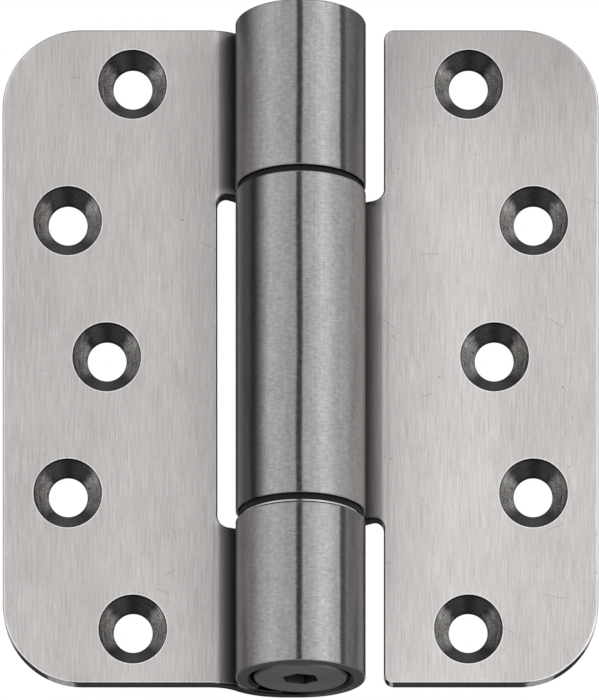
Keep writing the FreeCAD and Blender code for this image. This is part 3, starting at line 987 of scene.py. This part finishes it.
        angle = bench.ramp(tilt, 0.0, 1.0, -0.5, 0.9, soft=False)
        turned = bench.add("VectorRotate", Vector=offset, Angle=angle)
        long_way, short_way, _ = bench.parts(turned.outputs[0])
        reach = bench.ramp(size, 0.0, 1.0, 0.03, 0.30, soft=False)
        beyond = bench.math("SUBTRACT", bench.math("ABSOLUTE", long_way), reach)
        within_length = bench.ramp(beyond, -0.05, 0.0, 1.0, 0.0)
        within_width = bench.ramp(bench.math("ABSOLUTE", short_way), 0.004, 0.014, 1.0, 0.0)
        scratched = bench.math("GREATER_THAN", chance, 0.80)
        scratch = bench.product(within_length, within_width, scratched)

        pit_size = bench.ramp(size, 0.0, 1.0, 0.008, 0.022, soft=False)
        pitted = bench.math("LESS_THAN", chance, 0.28)
        pit = bench.product(bench.math("LESS_THAN", bench.length(offset), pit_size), pitted)
        return bench.math("MAXIMUM", bench.product(scratch, 0.6), pit)

    def _across_grain(self, bench: NodeBench, place: Place, zones: Zones) -> Socket:
        """The direction in which a highlight spreads.

        It lies across the leaf, along the pin on the barrel, and down the cone in a countersink.

        Args:
            bench: The node bench.
            place: The place on the leaf.
            zones: The masks.

        Returns:
            The direction.
        """
        upright = (0.0, 0.0, 1.0)
        normal = bench.add("NewGeometry").outputs["Normal"]
        level = bench.vector("CROSS_PRODUCT", upright, normal).outputs[0]
        level = bench.vector("NORMALIZE", level).outputs[0]
        down_cone = bench.vector("CROSS_PRODUCT", level, normal).outputs[0]
        tangent = bench.choose(zones.barrel, level, upright)
        tangent = bench.choose(zones.sink, tangent, down_cone)
        on_end = bench.math("GREATER_THAN", place.endways, 0.95)
        return bench.mix_vector(on_end, tangent, (1.0, 0.0, 0.0))


@dataclass(frozen=True)
class TurnedSteel:
    """Steel turned on a lathe round the pin's axis."""

    slot: Slot
    colour: Colour
    roughness: float
    edge_tint: float = 1.0
    rings_per_metre: float = 5200.0
    ring_contrast: float = 0.06
    ring_depth: float = 2.5e-6
    clouds_per_metre: float = 500.0
    anisotropy: float = 0.5

    def material(self) -> bpy.types.Material:
        """Build the material.

        Returns:
            The new material.
        """
        material = bpy.data.materials.new(self.slot.value + "_finish")
        material.use_nodes = True
        bench = NodeBench(material.node_tree)
        place = bench.add("TexCoord").outputs["Object"]
        x, y, z = bench.parts(place)
        flat = bench.combine(x, y, 0.0)
        out = bench.product(bench.length(flat), self.rings_per_metre)
        rings = bench.noise(out, 0.0, bench.product(z, self.rings_per_metre), 2.0)
        cloud = bench.noise(*bench.parts(bench.scaled(place, self.clouds_per_metre)), 3.0)
        shade = bench.total(1.0, bench.wave(rings, self.ring_contrast), bench.wave(cloud, 0.05))
        shader = bench.add("BsdfPrincipled", Metallic=1.0, Anisotropic=self.anisotropy)
        tint = self.edge_tint
        bench.feed(shader.inputs["Base Color"], bench.scaled(self.colour, shade))
        bench.feed(shader.inputs["Specular Tint"], (tint, tint, tint, 1.0))
        bench.feed(shader.inputs["Roughness"], bench.total(self.roughness, bench.wave(cloud, 0.04)))
        bench.feed(shader.inputs["Normal"], bench.bump(bench.product(rings, self.ring_depth)))
        bench.feed(shader.inputs["Tangent"], self._across_rings(bench, flat))
        bench.add("OutputMaterial", Surface=shader.outputs[0])
        return material

    def _across_rings(self, bench: NodeBench, flat: Socket) -> Socket:
        """The direction across the turned rings, in which a highlight spreads.

        Args:
            bench: The node bench.
            flat: The place from the pin's axis, without its height.

        Returns:
            The direction.
        """
        normal = bench.add("NewGeometry").outputs["Normal"]
        round_pin = bench.vector("CROSS_PRODUCT", (0.0, 0.0, 1.0), flat).outputs[0]
        across = bench.vector("CROSS_PRODUCT", round_pin, normal).outputs[0]
        return bench.vector("NORMALIZE", across).outputs[0]


@dataclass(frozen=True)
class BearingPlastic:
    """Black, matt bearing plastic."""

    slot: Slot = Slot.PLASTIC
    colour: Colour = (0.010, 0.010, 0.010)
    roughness: float = 0.5
    gloss: float = 0.16
    pores_per_metre: float = 3000.0
    pore_depth: float = 4.0e-6

    def material(self) -> bpy.types.Material:
        """Build the material.

        Returns:
            The new material.
        """
        material = bpy.data.materials.new("black_bearing_plastic")
        material.use_nodes = True
        bench = NodeBench(material.node_tree)
        place = bench.add("TexCoord").outputs["Object"]
        pores = bench.noise(*bench.parts(bench.scaled(place, self.pores_per_metre)), 2.0)
        shade = bench.total(1.0, bench.wave(pores, 0.3))
        shader = bench.add("BsdfPrincipled", Metallic=0.0, Specular_IOR_Level=self.gloss)
        bench.feed(shader.inputs["Base Color"], bench.scaled(self.colour, shade))
        bench.feed(shader.inputs["Roughness"], bench.total(self.roughness, bench.wave(pores, 0.08)))
        bench.feed(shader.inputs["Normal"], bench.bump(bench.product(pores, self.pore_depth)))
        bench.add("OutputMaterial", Surface=shader.outputs[0])
        return material


@dataclass
class HingeSide:
    """One half of the hinge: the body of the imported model, and the slot of each of its pieces."""

    body: str
    pieces: dict[str, Slot]

    def dress(
        self, nodes: dict[str, bpy.types.Object], finishes: dict[Slot, bpy.types.Material]
    ) -> None:
        """Give every piece of this half its finish.

        Args:
            nodes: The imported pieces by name.
            finishes: The materials by slot.
        """
        for name, slot in self.pieces.items():
            mesh = nodes[name].data
            mesh.materials.clear()
            mesh.materials.append(finishes[slot])
            LOG.info("%s on %s: %s", name, self.body, slot.value)


@dataclass
class FrameSide(HingeSide):
    """The frame leaf with the outer knuckles, and the pieces that stay with it."""

    body: str = "frame_side"
    pieces: dict[str, Slot] = field(
        default_factory=lambda: {
            "frame_leaf": Slot.BRUSHED,
            "hinge_pin": Slot.BRIGHT,
            "bottom_end_plug": Slot.TURNED,
            "top_end_plug": Slot.TURNED,
            "top_knuckle_sleeve": Slot.TURNED,
            "bottom_knuckle_sleeve": Slot.TURNED,
            "thrust_washer": Slot.BRIGHT,
        }
    )


@dataclass
class DoorSide(HingeSide):
    """The door leaf with the middle knuckle, and the pieces that turn with it."""

    body: str = "door_side"
    pieces: dict[str, Slot] = field(
        default_factory=lambda: {
            "door_leaf": Slot.BRUSHED,
            "middle_knuckle_sleeve": Slot.TURNED,
            "upper_bearing_bush": Slot.PLASTIC,
            "lower_bearing_bush": Slot.PLASTIC,
        }
    )


@dataclass(frozen=True)
class DarkPatch:
    """A dark patch of the studio, with soft edges outside it, and the level inside it.

    Azimuths are in degrees. Heights are the upward part of the direction of sight, from -1 to 1.
    """

    azimuth: tuple[float, float]
    azimuth_edge: float
    height: tuple[float, float]
    height_edge: float
    level: float

    def shade(self, bench: NodeBench, azimuth: Socket, height: Socket) -> Socket:
        """1 away from the patch and its level inside it.

        Args:
            bench: The node bench.
            azimuth: The direction's azimuth.
            height: The direction's height.

        Returns:
            The shade.
        """
        wide = bench.band(azimuth, *self.azimuth, self.azimuth_edge)
        high = bench.band(height, *self.height, self.height_edge)
        return bench.ramp(bench.product(wide, high), 0.0, 1.0, 1.0, self.level)


@dataclass
class Studio:
    """A white studio, and what the steel sees of it.

    The walls hold two soft boxes, with a dark slit between them, where the camera stands. The
    strips and the bench's front darken them behind. The bench far below and the ceiling are dark
    straight down and straight up. Walls lists the level by azimuth, 0 towards the front and
    positive towards +X.
    """

    floor_height: float = -1.05
    floor_size: float = 12.0
    floor_colour: Colour = (0.995, 0.995, 0.995)
    brightest: float = 1.7
    walls: tuple[tuple[float, float], ...] = (
        (-180, 1.25), (-145, 0.28), (-120, 0.10), (-105, 0.26), (-85, 0.60), (-65, 0.95),
        (-47, 1.09), (-20, 0.71), (10, 0.88), (27, 1.10), (41, 1.56), (60, 0.98),
        (80, 0.83), (100, 0.78), (120, 0.47), (145, 0.15), (180, 1.25),
    )
    slit: DarkPatch = DarkPatch((-7.0, 2.2), 1.5, (-0.5, 0.6), 0.1, 0.10)
    strips: DarkPatch = DarkPatch((150.0, 166.0), 4.0, (0.12, 0.55), 0.08, 0.06)
    bench_front: DarkPatch = DarkPatch((150.0, 180.0), 35.0, (-0.46, -0.22), 0.07, 0.45)

    def build(self) -> None:
        """Make the world and the floor."""
        self._world()
        self._floor()

    def _world(self) -> None:
        """White to the camera and to matt surfaces, and the studio's walls to steel."""
        world = bpy.data.worlds.new("white_studio")
        bpy.context.scene.world = world
        world.use_nodes = True
        bench = NodeBench(world.node_tree)
        x, y, height = bench.parts(bench.add("TexCoord").outputs["Generated"])
        azimuth = bench.math("DEGREES", bench.math("ARCTAN2", x, bench.product(y, -1.0)))
        side = bench.math("ABSOLUTE", azimuth)
        level = bench.product(
            self._walls(bench, azimuth),
            self._heights(bench, height),
            self.slit.shade(bench, azimuth, height),
            self.strips.shade(bench, side, height),
            self.bench_front.shade(bench, side, height),
        )
        glossy = bench.add("LightPath").outputs["Is Glossy Ray"]
        strength = bench.mix(glossy, 1.0, level)
        background = bench.add("Background", Color=(1.0, 1.0, 1.0, 1.0), Strength=strength)
        bench.add("OutputWorld", Surface=background.outputs[0])

    def _walls(self, bench: NodeBench, azimuth: Socket) -> Socket:
        """The level of the walls.

        Args:
            bench: The node bench.
            azimuth: The direction's azimuth in degrees.

        Returns:
            The level.
        """
        node = bench.add("ValToRGB", Fac=bench.ramp(azimuth, -180.0, 180.0, soft=False))
        stops = node.color_ramp
        stops.interpolation = "B_SPLINE"
        while len(stops.elements) > 1:
            stops.elements.remove(stops.elements[-1])
        for number, (angle, level) in enumerate(self.walls):
            position = (angle + 180) / 360
            stop = stops.elements[0] if number == 0 else stops.elements.new(position)
            stop.position = position
            share = level / self.brightest
            stop.color = (share, share, share, 1.0)
        return bench.product(node.outputs["Color"], self.brightest)

    def _heights(self, bench: NodeBench, height: Socket) -> Socket:
        """The level by height: a dark bench straight below and a dark ceiling straight above.

        Args:
            bench: The node bench.
            height: The upward part of the direction.

        Returns:
            The level.
        """
        bench_below = bench.ramp(height, -0.96, -0.78, 0.1412, 1.0)
        horizon = bench.ramp(height, -0.45, 0.05, 0.85, 1.0)
        ceiling = bench.ramp(height, 0.60, 0.90, 1.0, 0.50)
        return bench.product(bench_below, horizon, ceiling)

    def _floor(self) -> None:
        """Lay a pale floor far below, which steel and a camera underneath it see through."""
        mesh = bpy.data.meshes.new("floor")
        shape = bmesh.new()
        bmesh.ops.create_grid(shape, x_segments=1, y_segments=1, size=self.floor_size / 2)
        bmesh.ops.translate(shape, verts=shape.verts, vec=(0.0, 0.0, self.floor_height))
        shape.to_mesh(mesh)
        shape.free()
        floor = bpy.data.objects.new("floor", mesh)
        bpy.context.scene.collection.objects.link(floor)
        mesh.materials.append(self._floor_finish())

    def _floor_finish(self) -> bpy.types.Material:
        """The floor's pale, matt paint.

        Returns:
            The new material.
        """
        material = bpy.data.materials.new("pale_floor")
        material.use_nodes = True
        bench = NodeBench(material.node_tree)
        glossy = bench.add("LightPath").outputs["Is Glossy Ray"]
        from_below = bench.add("NewGeometry").outputs["Backfacing"]
        pale = bench.add("BsdfDiffuse", Color=(*self.floor_colour, 1.0))
        clear = bench.add("BsdfTransparent")
        mix = bench.add("MixShader", Fac=bench.math("MAXIMUM", glossy, from_below))
        bench.feed(mix.inputs[1], pale.outputs[0])
        bench.feed(mix.inputs[2], clear.outputs[0])
        bench.add("OutputMaterial", Surface=mix.outputs[0])
        return material


@dataclass
class ViewCamera:
    """A view camera in front of the hinge and below it, looking up at it.

    Its picture plane stays upright but for a slight tip, in radians. Field height is what the
    picture's height takes in at the hinge. The aim is the point in the middle of the picture.
    """

    distance: float = 1.148
    drop: float = 0.392
    field_height: float = 128.91 * MM
    tip: float = 0.015
    aim_across: float = -0.21 * MM
    aim_up: float = 0.39 * MM
    sensor: float = 36.0
    clip: tuple[float, float] = (0.05, 30.0)

    def build(self) -> bpy.types.Object:
        """Place the camera on its stand.

        Returns:
            The camera.
        """
        camera = bpy.data.objects.new("camera", bpy.data.cameras.new("camera"))
        stand = bpy.data.objects.new("camera_stand", None)
        for item in (camera, stand):
            bpy.context.scene.collection.objects.link(item)
        place = Vector((0.0, -self.distance, -self.drop))
        sight = place - Vector((self.aim_across, 0.0, self.aim_up))
        back = sight.normalized()
        rising_front = Matrix(
            (
                (1.0, 0.0, back.x, 0.0),
                (0.0, math.sin(self.tip), back.y, 0.0),
                (0.0, math.cos(self.tip), back.z, 0.0),
                (0.0, 0.0, 0.0, 1.0),
            )
        )
        stand.location = place
        camera.parent = stand
        camera.matrix_parent_inverse = rising_front
        lens = camera.data
        lens.sensor_width = self.sensor
        lens.lens = self.sensor * sight.length / self.field_height
        lens.clip_start, lens.clip_end = self.clip
        bpy.context.scene.camera = camera
        return camera


def main() -> None:
    """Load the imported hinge, dress both halves and build the studio and camera."""
    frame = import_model()
    bpy.context.scene.view_settings.view_transform = "Standard"
    recipes = (
        LeafSteel(),
        TurnedSteel(Slot.TURNED, (0.24, 0.235, 0.226), 0.30, edge_tint=0.43),
        TurnedSteel(Slot.BRIGHT, (0.60, 0.59, 0.58), 0.18),
        BearingPlastic(),
    )
    finishes = {recipe.slot: recipe.material() for recipe in recipes}
    for side in (FrameSide(), DoorSide()):
        side.dress(frame["nodes"], finishes)
    Studio().build()
    ViewCamera().build()


if __name__ == "__main__":
    logging.basicConfig(level=logging.INFO, format="%(name)s: %(message)s")
    main()
